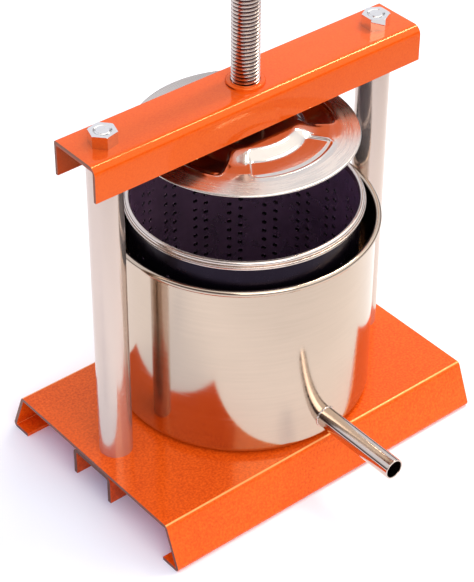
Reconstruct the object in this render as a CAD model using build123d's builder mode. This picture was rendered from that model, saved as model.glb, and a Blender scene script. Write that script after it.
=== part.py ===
from build123d import *
import os
from math import cos, radians, sin, sqrt

# Basket wine press, millimetres, +Z up.
# The origin lies on the bench under the middle of the press's own outline, seen from above.

# Folded base plate, open below and at both ends
BASE_LENGTH = 255.0
BASE_TOP_WIDTH = 159.0
BASE_FOOT_WIDTH = 184.5
BASE_HEIGHT = 32.0
BASE_SHEET = 2.5
BASE_LIP = 17.0
BASE_BEND = 3.0

# Channel under the base plate
STIFFENER_WIDTH = 40.0
STIFFENER_DEPTH = 21.5

# Crossbeam: a channel with its flanges down
BEAM_LENGTH = 256.0
BEAM_WIDTH = 40.0
BEAM_DEPTH = 24.0
BEAM_TOP = BASE_HEIGHT + 237.5
CHANNEL_SHEET = 3.0
CHANNEL_BEND = 4.5

# Columns, each a tube clamped over a threaded tie rod
COLUMN_SPACING = 214.5
COLUMN_RADIUS = 11.0
COLUMN_WALL = 2.0
ROD_RADIUS = 5.0
ROD_HOLE_RADIUS = 5.5
ROD_ABOVE_TOP_NUT = 0.3
ROD_BELOW_BOTTOM_NUT = 2.2
ROD_END_CHAMFER = 0.8
NUT_ACROSS_FLATS = 16.0
NUT_HEIGHT = 8.4
NUT_FACE_RADIUS = 8.8
NUT_COUNTERSINK = 0.7
LEFT_NUT_TURN = 12.0
RIGHT_NUT_TURN = 28.0
WASHER_RADIUS = 10.0
WASHER_HEIGHT = 2.0

# Tank with its rolled rim and outlet tube
TANK_X = 5.4
TANK_Y = 8.7
TANK_RADIUS = 86.6
TANK_HEIGHT = 136.0
TANK_SHEET = 1.0
TANK_CORNER = 6.0
FOOT_FLAT = 1.0
TANK_BEAD = 2.2
TANK_RIM_RADIUS = 90.0
SPOUT_RADIUS = 7.0
SPOUT_BORE = 6.0
SPOUT_HEIGHT = 17.0
SPOUT_REACH = 152.5
SPOUT_END_ROUND = 0.3
SPOUT_ROOT_RADIUS = 6.6
SPOUT_ROOT_GAP = 0.4

# Perforated basket that stands in the tank
BASKET_BORE = 73.0
BASKET_SHEET = 1.0
BASKET_TOP = BASE_HEIGHT + 156.2
BASKET_BEAD = 2.6
BASKET_BEAD_CENTRE = 75.3
BASKET_WALL_LIFT = 6.0
BASKET_FLOOR_LIFT = 9.0
BASKET_FLOOR_SHEET = 1.2
BASKET_FEET = 3
BASKET_FOOT_RADIUS = 5.0
BASKET_FOOT_CIRCLE = 60.0
HOLE_RADIUS = 1.25
HOLE_ROW_PITCH = 7.2
HOLE_ROWS = 16
HOLE_PAIRS = 19
HOLE_PAIR_ANGLE = 6.1
FIRST_PAIR_ANGLE = -80.5
FIRST_ROW_BELOW_TOP = 25.0
FLOOR_RING_PITCH = 8.0
FLOOR_RINGS = 8

# Stamped press plate
PLATE_RADIUS = 72.0
PLATE_BOTTOM = BASE_HEIGHT + 200.5
PLATE_SHEET = 2.0
PLATE_RIM_ROUND = 0.8
DOME_RADIUS = 31.5
DOME_RISE = 6.5
DOME_FOOT_RADIUS = 41.5
POCKETS = 4
POCKET_DEPTH = 1.5
POCKET_OUTER_RADIUS = 56.0
POCKET_SWEEP = 72.0
POCKET_CORNER = 3.0

# Spindle M18 x 2.5, right hand, and the bush it turns in
TRAVEL = 160.0
TRAVEL_SPARE = 1.5
SPINDLE_RADIUS = 9.0
BUSH_RADIUS = 12.5
BUSH_ABOVE_BEAM = 2.0
BUSH_LENGTH = 20.0
BUSH_CHAMFER = 0.8
RUNNING_GAP = 0.08

# Swivel that joins the spindle to the press plate
JOURNAL_RADIUS = 6.5
JOURNAL_LENGTH = 11.0
GROOVE_RADIUS = 4.9
GROOVE_WIDTH = 4.6
HUB_RADIUS = 12.0
HUB_FLANGE_RADIUS = 16.0
HUB_FLANGE = 3.0
HUB_TOP_GAP = 0.5
THRUST_WASHER = 1.5
HUB_SCREW_RADIUS = 2.0
HUB_SCREW_TIP = 5.3
SCREW_RECESS = 0.5

# T-handle on top of the spindle
SPIGOT_RADIUS = 7.0
SPIGOT_LENGTH = 14.0
HANDLE_HUB_RADIUS = 15.0
HANDLE_HUB_HEIGHT = 32.0
HANDLE_HUB_CHAMFER = 1.5
BAR_RADIUS = 6.0
BAR_LENGTH = 206.0
BAR_ABOVE_HUB_FOOT = 22.0
HUB_PIN_RADIUS = 2.0
HUB_PIN_ABOVE_FOOT = 7.0
SET_SCREW_RADIUS = 3.0
SET_SCREW_SOCKET = 2.0
KNOB_RADIUS = 11.0
KNOB_LENGTH = 34.0
KNOB_GRIPS = 20.0
KNOB_ROUND = 5.0

# Levels and places worked out from the driving sizes
SPOUT_END_Y = TANK_Y - SPOUT_REACH
RIM_BACK_Y = TANK_Y + TANK_RIM_RADIUS
AXIS_Y = -(SPOUT_END_Y + RIM_BACK_Y) / 2
BEAM_WEB_UNDER = BEAM_TOP - CHANNEL_SHEET
STIFFENER_TOP = BASE_HEIGHT - BASE_SHEET
STIFFENER_WEB_UNDER = STIFFENER_TOP - CHANNEL_SHEET
BUSH_TOP = BEAM_TOP + BUSH_ABOVE_BEAM
BUSH_BOTTOM = BUSH_TOP - BUSH_LENGTH
PLATE_TOP = PLATE_BOTTOM + PLATE_SHEET
DOME_TOP = PLATE_TOP + DOME_RISE
HUB_TOP = BUSH_BOTTOM - 2 * HUB_TOP_GAP
SHOULDER = HUB_TOP + HUB_TOP_GAP
JOURNAL_TIP = SHOULDER - JOURNAL_LENGTH
GROOVE_MIDDLE = (SHOULDER + JOURNAL_TIP) / 2
SPINDLE_TOP = BUSH_TOP + TRAVEL + TRAVEL_SPARE
BAR_Z = SPINDLE_TOP + BAR_ABOVE_HUB_FOOT
HUB_PIN_Z = SPINDLE_TOP + HUB_PIN_ABOVE_FOOT
HANDLE_HUB_TOP = SPINDLE_TOP + HANDLE_HUB_HEIGHT
TANK_FLOOR_TOP = BASE_HEIGHT + TANK_SHEET
BASKET_FLOOR_BOTTOM = TANK_FLOOR_TOP + BASKET_FLOOR_LIFT
BASKET_OUTER = BASKET_BORE + BASKET_SHEET

# Planes: two lengthwise section planes, and upright planes through the two round axes
BASE_SECTION = Plane(origin=(-BASE_LENGTH / 2, AXIS_Y, 0), x_dir=(0, 1, 0), z_dir=(1, 0, 0))
BEAM_SECTION = Plane(origin=(-BEAM_LENGTH / 2, AXIS_Y, 0), x_dir=(0, 1, 0), z_dir=(1, 0, 0))
PRESS_HALF = Plane(origin=(0, AXIS_Y, 0), x_dir=(1, 0, 0), z_dir=(0, -1, 0))
TANK_HALF = Plane(origin=(TANK_X, AXIS_Y + TANK_Y, 0), x_dir=(1, 0, 0), z_dir=(0, -1, 0))
PRESS_AXIS = Axis((0, AXIS_Y, 0), (0, 0, 1))
TANK_AXIS = Axis((TANK_X, AXIS_Y + TANK_Y, 0), (0, 0, 1))


def level(z, x=0.0):
    """Horizontal plane at height z, centred on the press axis or x beside it."""
    return Plane(origin=(x, AXIS_Y, z))


def upright(x, y, z, direction):
    """Plane through a point, facing along a horizontal direction."""
    return Plane(origin=(x, AXIS_Y + y, z), x_dir=(0, 0, 1), z_dir=direction)


def save(part, name):
    """Label a finished piece and write its STEP file."""
    part.label = name
    export_step(part, f"parts/{name}.step")


os.makedirs("parts", exist_ok=True)
COLUMN_PLACES = [(-COLUMN_SPACING / 2, 0), (COLUMN_SPACING / 2, 0)]

# ---------------------------------------------------------------- frame

with BuildPart() as base_plate:
    with BuildSketch(BASE_SECTION):
        with BuildLine():
            Polyline(
                (-BASE_FOOT_WIDTH / 2, 0),
                (BASE_FOOT_WIDTH / 2, 0),
                (BASE_TOP_WIDTH / 2, BASE_HEIGHT),
                (-BASE_TOP_WIDTH / 2, BASE_HEIGHT),
                close=True,
            )
        make_face()
        fold = fillet(vertices(), radius=BASE_BEND)
        offset(fold, amount=-BASE_SHEET, mode=Mode.SUBTRACT)
        Rectangle(BASE_FOOT_WIDTH - 2 * BASE_LIP, 4 * BASE_SHEET, mode=Mode.SUBTRACT)
    extrude(amount=BASE_LENGTH)
    with BuildSketch(level(BASE_HEIGHT)):
        with Locations(COLUMN_PLACES):
            Circle(ROD_HOLE_RADIUS)
    extrude(amount=-2 * BASE_SHEET, mode=Mode.SUBTRACT)
save(base_plate.part, "base_plate")


def channel_profile(width, depth, top):
    """Section of a bent channel whose web is on top and whose flanges point down."""
    with Locations((0, top - depth / 2)):
        Rectangle(width, depth)
    outline = fillet(vertices().group_by(Axis.Y)[-1], radius=CHANNEL_BEND)
    offset(outline, amount=-CHANNEL_SHEET, mode=Mode.SUBTRACT)
    with Locations((0, top - depth)):
        Rectangle(width - 2 * CHANNEL_SHEET, 4 * CHANNEL_SHEET, mode=Mode.SUBTRACT)


with BuildPart() as lower_channel:
    with BuildSketch(BASE_SECTION):
        channel_profile(STIFFENER_WIDTH, STIFFENER_DEPTH, STIFFENER_TOP)
    extrude(amount=BASE_LENGTH)
    with BuildSketch(level(STIFFENER_TOP)):
        with Locations(COLUMN_PLACES):
            Circle(ROD_HOLE_RADIUS)
    extrude(amount=-2 * CHANNEL_SHEET, mode=Mode.SUBTRACT)
save(lower_channel.part, "lower_channel")

with BuildPart() as crossbeam:
    with BuildSketch(BEAM_SECTION):
        channel_profile(BEAM_WIDTH, BEAM_DEPTH, BEAM_TOP)
    extrude(amount=BEAM_LENGTH)
    with BuildSketch(level(BEAM_TOP)):
        with Locations(COLUMN_PLACES):
            Circle(ROD_HOLE_RADIUS)
        Circle(BUSH_RADIUS)
    extrude(amount=-2 * CHANNEL_SHEET, mode=Mode.SUBTRACT)
save(crossbeam.part, "crossbeam")

with BuildPart() as screw_bush:
    with BuildSketch(level(BUSH_BOTTOM)):
        Circle(BUSH_RADIUS)
        Circle(SPINDLE_RADIUS + RUNNING_GAP, mode=Mode.SUBTRACT)
    extrude(amount=BUSH_LENGTH)
    mouth = screw_bush.edges().group_by(Axis.Z)[-1].sort_by(SortBy.RADIUS)
    chamfer(mouth[-1], length=BUSH_CHAMFER)
save(screw_bush.part, "screw_bush")


def column(x):
    """Tube between the base plate and the crossbeam's web."""
    with BuildPart() as tube:
        with BuildSketch(level(BASE_HEIGHT, x)):
            Circle(COLUMN_RADIUS)
            Circle(COLUMN_RADIUS - COLUMN_WALL, mode=Mode.SUBTRACT)
        extrude(amount=BEAM_WEB_UNDER - BASE_HEIGHT)
    return tube.part


BOTTOM_NUT_UNDER = STIFFENER_WEB_UNDER - WASHER_HEIGHT - NUT_HEIGHT
ROD_BOTTOM = BOTTOM_NUT_UNDER - ROD_BELOW_BOTTOM_NUT
ROD_TOP = BEAM_TOP + NUT_HEIGHT + ROD_ABOVE_TOP_NUT


def tie_rod(x):
    """Threaded rod through a column, drawn at its outer diameter."""
    with BuildPart() as rod:
        with BuildSketch(level(ROD_BOTTOM, x)):
            Circle(ROD_RADIUS)
        extrude(amount=ROD_TOP - ROD_BOTTOM)
        chamfer(rod.edges(), length=ROD_END_CHAMFER)
    return rod.part


for side, x in (("left", -COLUMN_SPACING / 2), ("right", COLUMN_SPACING / 2)):
    save(column(x), f"column_{side}")
    save(tie_rod(x), f"tie_rod_{side}")


def hex_nuts(bottom):
    """M10 nuts with a cone turned on both faces and a countersunk bore for the rod."""
    corner = NUT_ACROSS_FLATS / sqrt(3)
    rise = (corner - NUT_FACE_RADIUS) / sqrt(3)
    with BuildPart() as nuts:
        for (x, _), turn in zip(COLUMN_PLACES, (LEFT_NUT_TURN, RIGHT_NUT_TURN)):
            with BuildSketch(level(bottom, x)):
                RegularPolygon(corner, side_count=6, rotation=turn)
            extrude(amount=NUT_HEIGHT)
            half = Plane(origin=(x, AXIS_Y, bottom), x_dir=(1, 0, 0), z_dir=(0, -1, 0))
            with BuildSketch(half):
                with BuildLine():
                    Polyline(
                        (NUT_FACE_RADIUS, -1),
                        (2 * corner, -1),
                        (2 * corner, NUT_HEIGHT + 1),
                        (NUT_FACE_RADIUS, NUT_HEIGHT + 1),
                        (NUT_FACE_RADIUS, NUT_HEIGHT),
                        (corner, NUT_HEIGHT - rise),
                        (corner, rise),
                        (NUT_FACE_RADIUS, 0),
                        close=True,
                    )
                make_face()
            revolve(axis=Axis((x, AXIS_Y, 0), (0, 0, 1)), mode=Mode.SUBTRACT)
            with BuildSketch(level(bottom, x)):
                Circle(ROD_RADIUS)
            extrude(amount=NUT_HEIGHT, mode=Mode.SUBTRACT)
        mouths = nuts.edges().filter_by(GeomType.CIRCLE)
        chamfer(mouths.filter_by(lambda edge: edge.radius < ROD_HOLE_RADIUS), NUT_COUNTERSINK)
    return nuts.part


save(hex_nuts(BEAM_TOP), "top_nuts")
save(hex_nuts(BOTTOM_NUT_UNDER), "bottom_nuts")

with BuildPart() as bottom_washers:
    with BuildSketch(level(STIFFENER_WEB_UNDER)):
        with Locations(COLUMN_PLACES):
            Circle(WASHER_RADIUS)
            Circle(ROD_HOLE_RADIUS, mode=Mode.SUBTRACT)
    extrude(amount=-WASHER_HEIGHT)
save(bottom_washers.part, "bottom_washers")

# ---------------------------------------------------------------- tank

RIM_Z = BASE_HEIGHT + TANK_HEIGHT - TANK_BEAD
TANK_WALL_BOTTOM = BASE_HEIGHT + TANK_CORNER
TANK_BORE = TANK_RADIUS - TANK_SHEET
FLOOR_RADIUS = TANK_RADIUS - TANK_CORNER - FOOT_FLAT
SPOUT_ROOT = TANK_Y - TANK_RADIUS - SPOUT_ROOT_GAP


def tank_level(z):
    """Horizontal plane at height z, centred on the tank's axis."""
    return Plane(origin=(TANK_X, AXIS_Y + TANK_Y, z))


with BuildPart() as tank_floor:
    with BuildSketch(tank_level(BASE_HEIGHT)):
        Circle(FLOOR_RADIUS)
    extrude(amount=TANK_SHEET)
save(tank_floor.part, "tank_floor")

with BuildPart() as tank_corner:
    with BuildSketch(TANK_HALF):
        with BuildLine():
            outside = FilletPolyline(
                (FLOOR_RADIUS, BASE_HEIGHT),
                (TANK_RADIUS, BASE_HEIGHT),
                (TANK_RADIUS, TANK_WALL_BOTTOM + TANK_SHEET),
                radius=TANK_CORNER,
            )
            inside = FilletPolyline(
                (FLOOR_RADIUS, TANK_FLOOR_TOP),
                (TANK_BORE, TANK_FLOOR_TOP),
                (TANK_BORE, TANK_WALL_BOTTOM + TANK_SHEET),
                radius=TANK_CORNER - TANK_SHEET,
            )
            Line(outside @ 0, inside @ 0)
            Line(outside @ 1, inside @ 1)
        make_face()
    revolve(axis=TANK_AXIS)
save(tank_corner.part, "tank_corner")

with BuildPart() as tank_wall:
    with BuildSketch(tank_level(TANK_WALL_BOTTOM + TANK_SHEET)):
        Circle(TANK_RADIUS)
        Circle(TANK_BORE, mode=Mode.SUBTRACT)
    extrude(amount=RIM_Z - TANK_WALL_BOTTOM - TANK_SHEET)
    with BuildSketch(TANK_HALF):
        with Locations((TANK_RIM_RADIUS - TANK_BEAD, RIM_Z)):
            Circle(TANK_BEAD)
    revolve(axis=TANK_AXIS, mode=Mode.SUBTRACT)
    with BuildSketch(upright(TANK_X, TANK_Y, BASE_HEIGHT + SPOUT_HEIGHT, (0, -1, 0))):
        Circle(SPOUT_ROOT_RADIUS)
    extrude(amount=SPOUT_REACH, mode=Mode.SUBTRACT)
save(tank_wall.part, "tank_wall")

with BuildPart() as tank_rim:
    with BuildSketch(TANK_HALF):
        with Locations((TANK_RIM_RADIUS - TANK_BEAD, RIM_Z)):
            Circle(TANK_BEAD)
    revolve(axis=TANK_AXIS)
save(tank_rim.part, "tank_rim")

with BuildPart() as spout_tube:
    with BuildSketch(upright(TANK_X, SPOUT_END_Y, BASE_HEIGHT + SPOUT_HEIGHT, (0, 1, 0))):
        Circle(SPOUT_RADIUS)
    extrude(amount=SPOUT_ROOT - SPOUT_END_Y)
    with BuildSketch(upright(TANK_X, SPOUT_ROOT, BASE_HEIGHT + SPOUT_HEIGHT, (0, 1, 0))):
        Circle(SPOUT_ROOT_RADIUS)
    extrude(amount=SPOUT_ROOT_GAP + 2 * TANK_SHEET)
    with BuildSketch(upright(TANK_X, SPOUT_END_Y, BASE_HEIGHT + SPOUT_HEIGHT, (0, 1, 0))):
        Circle(SPOUT_BORE)
    extrude(amount=SPOUT_REACH, mode=Mode.SUBTRACT)
    fillet(spout_tube.edges().group_by(Axis.Y)[0], radius=SPOUT_END_ROUND)
save(spout_tube.part, "spout_tube")

# ---------------------------------------------------------------- basket

BEAD_Z = BASKET_TOP - BASKET_BEAD
WALL_BOTTOM = TANK_FLOOR_TOP + BASKET_WALL_LIFT
FIRST_ROW = BASKET_TOP - FIRST_ROW_BELOW_TOP

with BuildPart() as basket_wall:
    with BuildSketch(level(WALL_BOTTOM)):
        Circle(BASKET_OUTER)
        Circle(BASKET_BORE, mode=Mode.SUBTRACT)
    extrude(amount=BEAD_Z - WALL_BOTTOM)
    with BuildSketch(PRESS_HALF):
        with Locations((BASKET_BEAD_CENTRE, BEAD_Z)):
            Circle(BASKET_BEAD)
    revolve(axis=PRESS_AXIS, mode=Mode.SUBTRACT)
    for pair in range(HOLE_PAIRS):
        for half in (0, 1):
            turn = 360.0 * pair / HOLE_PAIRS + half * HOLE_PAIR_ANGLE + FIRST_PAIR_ANGLE
            hole_plane = level(0).rotated((0, 0, turn))
            face_out = Plane(origin=hole_plane.origin, x_dir=(0, 0, 1), z_dir=hole_plane.x_dir)
            stagger = (1 - half) * HOLE_ROW_PITCH / 2
            rows = [(FIRST_ROW - stagger - row * HOLE_ROW_PITCH, 0) for row in range(HOLE_ROWS)]
            with BuildSketch(face_out.offset(BASKET_BORE - BASKET_SHEET)):
                with Locations(rows):
                    Circle(HOLE_RADIUS)
            extrude(amount=3 * BASKET_SHEET, mode=Mode.SUBTRACT)
save(basket_wall.part, "basket_wall")

with BuildPart() as basket_rim:
    with BuildSketch(PRESS_HALF):
        with Locations((BASKET_BEAD_CENTRE, BEAD_Z)):
            Circle(BASKET_BEAD)
    revolve(axis=PRESS_AXIS)
save(basket_rim.part, "basket_rim")

with BuildPart() as basket_floor:
    with BuildSketch(level(BASKET_FLOOR_BOTTOM)):
        Circle(BASKET_BORE)
        for ring in range(FLOOR_RINGS):
            if ring == 0:
                Circle(HOLE_RADIUS, mode=Mode.SUBTRACT)
            else:
                with PolarLocations(ring * FLOOR_RING_PITCH, 6 * ring):
                    Circle(HOLE_RADIUS, mode=Mode.SUBTRACT)
    extrude(amount=BASKET_FLOOR_SHEET)
save(basket_floor.part, "basket_floor")

with BuildPart() as basket_feet:
    with BuildSketch(level(TANK_FLOOR_TOP)):
        with PolarLocations(BASKET_FOOT_CIRCLE, BASKET_FEET, start_angle=90):
            Circle(BASKET_FOOT_RADIUS)
    extrude(amount=BASKET_FLOOR_LIFT)
save(basket_feet.part, "basket_feet")

# ---------------------------------------------------------------- press plate and swivel

with BuildPart() as press_plate:
    with BuildSketch(PRESS_HALF):
        with BuildLine():
            Polyline(
                (HUB_RADIUS, DOME_TOP),
                (DOME_RADIUS, DOME_TOP),
                (DOME_FOOT_RADIUS, PLATE_TOP),
                (PLATE_RADIUS, PLATE_TOP),
                (PLATE_RADIUS, PLATE_BOTTOM),
                (POCKET_OUTER_RADIUS + PLATE_SHEET, PLATE_BOTTOM),
                (POCKET_OUTER_RADIUS + PLATE_SHEET - POCKET_DEPTH, PLATE_BOTTOM - POCKET_DEPTH),
                (DOME_FOOT_RADIUS - PLATE_SHEET, PLATE_BOTTOM - POCKET_DEPTH),
                (DOME_RADIUS - PLATE_SHEET / 2, DOME_TOP - PLATE_SHEET),
                (HUB_RADIUS, DOME_TOP - PLATE_SHEET),
                close=True,
            )
        make_face()
    revolve(axis=PRESS_AXIS)
    for pocket in range(POCKETS):
        turn = 360.0 * pocket / POCKETS - 90.0
        with BuildSketch(level(PLATE_TOP - POCKET_DEPTH).rotated((0, 0, turn))):
            with BuildLine():
                CenterArc((0, 0), POCKET_OUTER_RADIUS, -POCKET_SWEEP / 2, POCKET_SWEEP)
                CenterArc((0, 0), DOME_FOOT_RADIUS, -POCKET_SWEEP / 2, POCKET_SWEEP)
                PolarLine((DOME_FOOT_RADIUS * cos(radians(POCKET_SWEEP / 2)),
                           DOME_FOOT_RADIUS * sin(radians(POCKET_SWEEP / 2))),
                          POCKET_OUTER_RADIUS - DOME_FOOT_RADIUS, POCKET_SWEEP / 2)
                PolarLine((DOME_FOOT_RADIUS * cos(radians(POCKET_SWEEP / 2)),
                           -DOME_FOOT_RADIUS * sin(radians(POCKET_SWEEP / 2))),
                          POCKET_OUTER_RADIUS - DOME_FOOT_RADIUS, -POCKET_SWEEP / 2)
            make_face()
            fillet(vertices(), radius=POCKET_CORNER)
        extrude(amount=POCKET_DEPTH + 1, taper=-45, mode=Mode.SUBTRACT)
    edges = press_plate.edges().filter_by(GeomType.CIRCLE)
    fillet(edges.group_by(SortBy.RADIUS)[-1], radius=PLATE_RIM_ROUND)
save(press_plate.part, "press_plate")

THRUST_FLOOR = JOURNAL_TIP - THRUST_WASHER

with BuildPart() as plate_hub:
    with BuildSketch(level(DOME_TOP - PLATE_SHEET - HUB_FLANGE)):
        Circle(HUB_FLANGE_RADIUS)
    extrude(amount=HUB_FLANGE)
    with BuildSketch(level(DOME_TOP - PLATE_SHEET - HUB_FLANGE)):
        Circle(HUB_RADIUS)
    extrude(amount=HUB_TOP - DOME_TOP + PLATE_SHEET + HUB_FLANGE)
    with BuildSketch(level(THRUST_FLOOR)):
        Circle(JOURNAL_RADIUS + RUNNING_GAP)
    extrude(amount=HUB_TOP - THRUST_FLOOR, mode=Mode.SUBTRACT)
    for side in (-1, 1):
        with BuildSketch(upright(0, 0, GROOVE_MIDDLE, (side, 0, 0))):
            Circle(HUB_SCREW_RADIUS)
        extrude(amount=HUB_RADIUS, mode=Mode.SUBTRACT)
save(plate_hub.part, "plate_hub")

with BuildPart() as hub_screws:
    for side in (-1, 1):
        with BuildSketch(upright(side * HUB_SCREW_TIP, 0, GROOVE_MIDDLE, (side, 0, 0))):
            Circle(HUB_SCREW_RADIUS)
        extrude(amount=HUB_RADIUS - HUB_SCREW_TIP - SCREW_RECESS)
save(hub_screws.part, "hub_screws")

with BuildPart() as thrust_washer:
    with BuildSketch(level(THRUST_FLOOR)):
        Circle(JOURNAL_RADIUS)
    extrude(amount=THRUST_WASHER)
save(thrust_washer.part, "thrust_washer")

# ---------------------------------------------------------------- spindle and T-handle

with BuildPart() as screw_spindle:
    with BuildSketch(PRESS_HALF):
        with BuildLine():
            Polyline(
                (0, JOURNAL_TIP),
                (JOURNAL_RADIUS, JOURNAL_TIP),
                (JOURNAL_RADIUS, GROOVE_MIDDLE - GROOVE_WIDTH / 2),
                (GROOVE_RADIUS, GROOVE_MIDDLE - GROOVE_WIDTH / 2),
                (GROOVE_RADIUS, GROOVE_MIDDLE + GROOVE_WIDTH / 2),
                (JOURNAL_RADIUS, GROOVE_MIDDLE + GROOVE_WIDTH / 2),
                (JOURNAL_RADIUS, SHOULDER),
                (SPINDLE_RADIUS, SHOULDER),
                (SPINDLE_RADIUS, SPINDLE_TOP),
                (SPIGOT_RADIUS, SPINDLE_TOP),
                (SPIGOT_RADIUS, SPINDLE_TOP + SPIGOT_LENGTH),
                (0, SPINDLE_TOP + SPIGOT_LENGTH),
                close=True,
            )
        make_face()
    revolve(axis=PRESS_AXIS)
    with BuildSketch(upright(0, SPIGOT_RADIUS + 1, HUB_PIN_Z, (0, -1, 0))):
        Circle(HUB_PIN_RADIUS)
    extrude(amount=2 * SPIGOT_RADIUS + 2, mode=Mode.SUBTRACT)
save(screw_spindle.part, "screw_spindle")

with BuildPart() as handle_hub:
    with BuildSketch(level(SPINDLE_TOP)):
        Circle(HANDLE_HUB_RADIUS)
    extrude(amount=HANDLE_HUB_HEIGHT)
    chamfer(handle_hub.edges(), length=HANDLE_HUB_CHAMFER)
    with BuildSketch(level(SPINDLE_TOP)):
        Circle(SPIGOT_RADIUS)
    extrude(amount=SPIGOT_LENGTH, mode=Mode.SUBTRACT)
    with BuildSketch(upright(-HANDLE_HUB_RADIUS, 0, BAR_Z, (1, 0, 0))):
        Circle(BAR_RADIUS)
    extrude(amount=2 * HANDLE_HUB_RADIUS, mode=Mode.SUBTRACT)
    with BuildSketch(upright(0, HANDLE_HUB_RADIUS, HUB_PIN_Z, (0, -1, 0))):
        Circle(HUB_PIN_RADIUS)
    extrude(amount=2 * HANDLE_HUB_RADIUS, mode=Mode.SUBTRACT)
    with BuildSketch(level(BAR_Z)):
        Circle(SET_SCREW_RADIUS)
    extrude(amount=HANDLE_HUB_HEIGHT, mode=Mode.SUBTRACT)
save(handle_hub.part, "handle_hub")

with BuildPart() as hub_pin:
    with BuildSketch(upright(0, HANDLE_HUB_RADIUS, HUB_PIN_Z, (0, -1, 0))):
        Circle(HUB_PIN_RADIUS)
    extrude(amount=2 * HANDLE_HUB_RADIUS)
save(hub_pin.part, "hub_pin")

with BuildPart() as bar_set_screw:
    with BuildSketch(level(BAR_Z + BAR_RADIUS)):
        Circle(SET_SCREW_RADIUS)
    extrude(amount=HANDLE_HUB_TOP - SCREW_RECESS - BAR_Z - BAR_RADIUS)
    with BuildSketch(level(HANDLE_HUB_TOP - SCREW_RECESS)):
        RegularPolygon(SET_SCREW_RADIUS / 2, side_count=6)
    extrude(amount=-SET_SCREW_SOCKET, mode=Mode.SUBTRACT)
save(bar_set_screw.part, "bar_set_screw")

with BuildPart() as handle_bar:
    with BuildSketch(upright(-BAR_LENGTH / 2, 0, BAR_Z, (1, 0, 0))):
        Circle(BAR_RADIUS)
    extrude(amount=BAR_LENGTH)
save(handle_bar.part, "handle_bar")


def knob(side):
    """Moulded grip pressed over one end of the bar."""
    far = BAR_LENGTH / 2 + KNOB_LENGTH - KNOB_GRIPS
    with BuildPart() as grip:
        with BuildSketch(upright(side * (far - KNOB_LENGTH), 0, BAR_Z, (side, 0, 0))):
            Circle(KNOB_RADIUS)
        extrude(amount=KNOB_LENGTH)
        fillet(grip.edges(), radius=KNOB_ROUND)
        with BuildSketch(upright(side * (far - KNOB_LENGTH), 0, BAR_Z, (side, 0, 0))):
            Circle(BAR_RADIUS)
        extrude(amount=KNOB_GRIPS, mode=Mode.SUBTRACT)
    return grip.part


save(knob(-1), "handle_knob_left")
save(knob(1), "handle_knob_right")
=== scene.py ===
import math
import bmesh
import bpy
from mathutils import Matrix, Vector


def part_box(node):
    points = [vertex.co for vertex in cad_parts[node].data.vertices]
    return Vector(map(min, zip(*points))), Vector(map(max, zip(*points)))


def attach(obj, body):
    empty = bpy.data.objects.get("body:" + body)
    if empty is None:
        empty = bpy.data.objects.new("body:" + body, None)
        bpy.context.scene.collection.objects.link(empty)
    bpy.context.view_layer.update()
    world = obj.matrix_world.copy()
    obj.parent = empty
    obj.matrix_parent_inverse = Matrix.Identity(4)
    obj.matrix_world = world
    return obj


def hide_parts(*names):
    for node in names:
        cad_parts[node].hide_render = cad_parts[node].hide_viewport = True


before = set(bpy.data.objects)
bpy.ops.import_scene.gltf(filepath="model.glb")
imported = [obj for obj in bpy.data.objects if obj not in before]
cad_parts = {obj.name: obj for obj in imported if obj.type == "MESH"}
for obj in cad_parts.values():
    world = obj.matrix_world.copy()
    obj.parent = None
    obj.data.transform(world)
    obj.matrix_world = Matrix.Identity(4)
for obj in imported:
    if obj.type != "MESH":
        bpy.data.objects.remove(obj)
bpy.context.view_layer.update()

MM = 0.001
TURN = 2 * math.pi

# ------------------------------------------------------------------ places read from the frame
BEAM_LOW, BEAM_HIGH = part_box("crossbeam")
BUSH_LOW, BUSH_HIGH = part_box("screw_bush")
SPINDLE_LOW, SPINDLE_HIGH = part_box("screw_spindle")
HUB_LOW, HUB_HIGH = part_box("plate_hub")
ROD_LOW, ROD_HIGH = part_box("tie_rod_left")
COLUMN_LOW, COLUMN_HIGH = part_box("column_left")
RIM_LOW, RIM_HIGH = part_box("basket_rim")
WALL_LOW, WALL_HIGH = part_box("basket_wall")
TANK_LOW, TANK_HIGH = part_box("tank_wall")
PLATE_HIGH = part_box("press_plate")[1]
SPOUT_LOW, SPOUT_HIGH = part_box("spout_tube")

PRESS_AXIS = Vector((0.0, (RIM_LOW.y + RIM_HIGH.y) / 2, 0.0))
TANK_AXIS = Vector(((TANK_LOW.x + TANK_HIGH.x) / 2, (TANK_LOW.y + TANK_HIGH.y) / 2, 0.0))
COLUMN_X = abs(COLUMN_LOW.x + COLUMN_HIGH.x) / 2
SPOUT_Z = (SPOUT_LOW.z + SPOUT_HIGH.z) / 2
SPOUT_RADIUS = (SPOUT_HIGH.x - SPOUT_LOW.x) / 2
SPINDLE_RADIUS = (SPINDLE_HIGH.x - SPINDLE_LOW.x) / 2
BASE_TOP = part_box("base_plate")[1].z

# Sizes of the finer detail
THREAD_DEPTH = 0.6134  # in pitches
SPINDLE_PITCH = 2.5 * MM
JOURNAL_LENGTH = 11 * MM
JOURNAL_RADIUS = 6.5 * MM
GROOVE_RADIUS = 4.9 * MM
GROOVE_WIDTH = 4.6 * MM
SPIGOT_LENGTH = 14 * MM
SPIGOT_RADIUS = 7 * MM
ROD_PITCH = 1.5 * MM
ROD_THREAD = 18 * MM
FOOT_THREAD = 1.4 * ROD_THREAD
BASKET_SHEET = 1.0 * MM
BASKET_BORE = (WALL_HIGH.x - WALL_LOW.x) / 2 - BASKET_SHEET
TANK_OUTER = 86.6 * MM


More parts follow.
